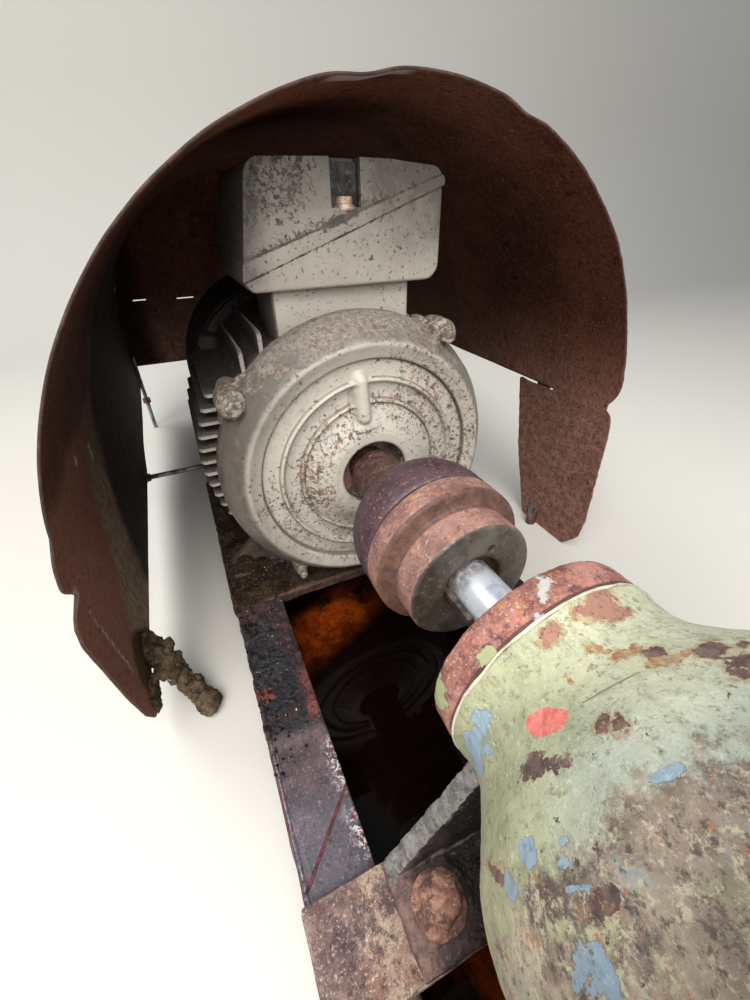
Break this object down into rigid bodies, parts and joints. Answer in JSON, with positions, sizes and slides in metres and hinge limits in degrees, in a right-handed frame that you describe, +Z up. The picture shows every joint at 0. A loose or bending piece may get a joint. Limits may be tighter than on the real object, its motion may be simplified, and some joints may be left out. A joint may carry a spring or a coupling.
{
  "type": "self-priming centrifugal pump",
  "caption": "Self-priming centrifugal pump on a steel base: a flanged casing and flared bearing housing, coupled to a finned motor under a hood cut from a steel drum.",
  "frame": {"origin": "on the ground under the shaft line, at the middle of the base's length, on the underside of the base pan", "axes": "+X along the shaft from the motor to the pump, +Z up, +Y to the right when looking from the pump towards the motor"},
  "size_m": [1.4003, 0.583, 0.499],
  "materials": {
    "motor_paint": "chalky, speckled with rust",
    "drum_steel": "rusted thin sheet",
    "base_steel": "dark, rusting at the edges",
    "plate_steel": "muddy and rusted",
    "coupling_iron": "turned, with a rust bloom",
    "shaft_steel": "bright turned steel",
    "rust_red_paint": "rust red with paint flakes",
    "pump_paint": "flaking pale green paint over rust",
    "plug_brass": "dull"
  },
  "bodies": {
    "pump_set": {"motor_frame": "motor_paint", "shield_drive_end": "motor_paint", "shield_far_end": "motor_paint", "fan_cowl": "motor_paint", "box_pedestal": "motor_paint", "box_base": "motor_paint", "box_cover": "motor_paint", "hood_shell": "drum_steel", "hood_back_plate": "drum_steel", "hood_leg_right": "drum_steel", "leg_strap_front": "drum_steel", "leg_strap_rear": "drum_steel", "hood_stay": "drum_steel", "rail_left": "base_steel", "rail_right": "base_steel", "end_plate_motor": "base_steel", "end_plate_pump": "base_steel", "base_pan": "base_steel", "motor_plate_front": "plate_steel", "motor_plate_rear": "plate_steel", "pump_plate_front": "plate_steel", "pump_plate_rear": "plate_steel", "tie_bolt": "shaft_steel", "hood_rod_left": "shaft_steel", "hood_rod_right": "shaft_steel", "bearing_cover": "rust_red_paint", "bearing_housing": "pump_paint", "support_foot": "pump_paint", "casing": "pump_paint", "outlet_neck": "pump_paint", "inlet_neck": "pump_paint", "casing_foot_left": "pump_paint", "casing_foot_right": "pump_paint", "filler_plug": "plug_brass", "drain_plug": "plug_brass"},
    "rotor": {"motor_shaft": "shaft_steel", "coupling_motor_half": "coupling_iron", "coupling_pump_half": "coupling_iron", "pump_shaft": "shaft_steel", "shaft_key": "shaft_steel"}
  },
  "joints": [
    {"name": "rotor_spin", "type": "hinge", "parent": "pump_set", "child": "rotor", "pos_m": [0.14, 0, 0.217], "axis": [1, 0, 0], "continuous": true}
  ]
}
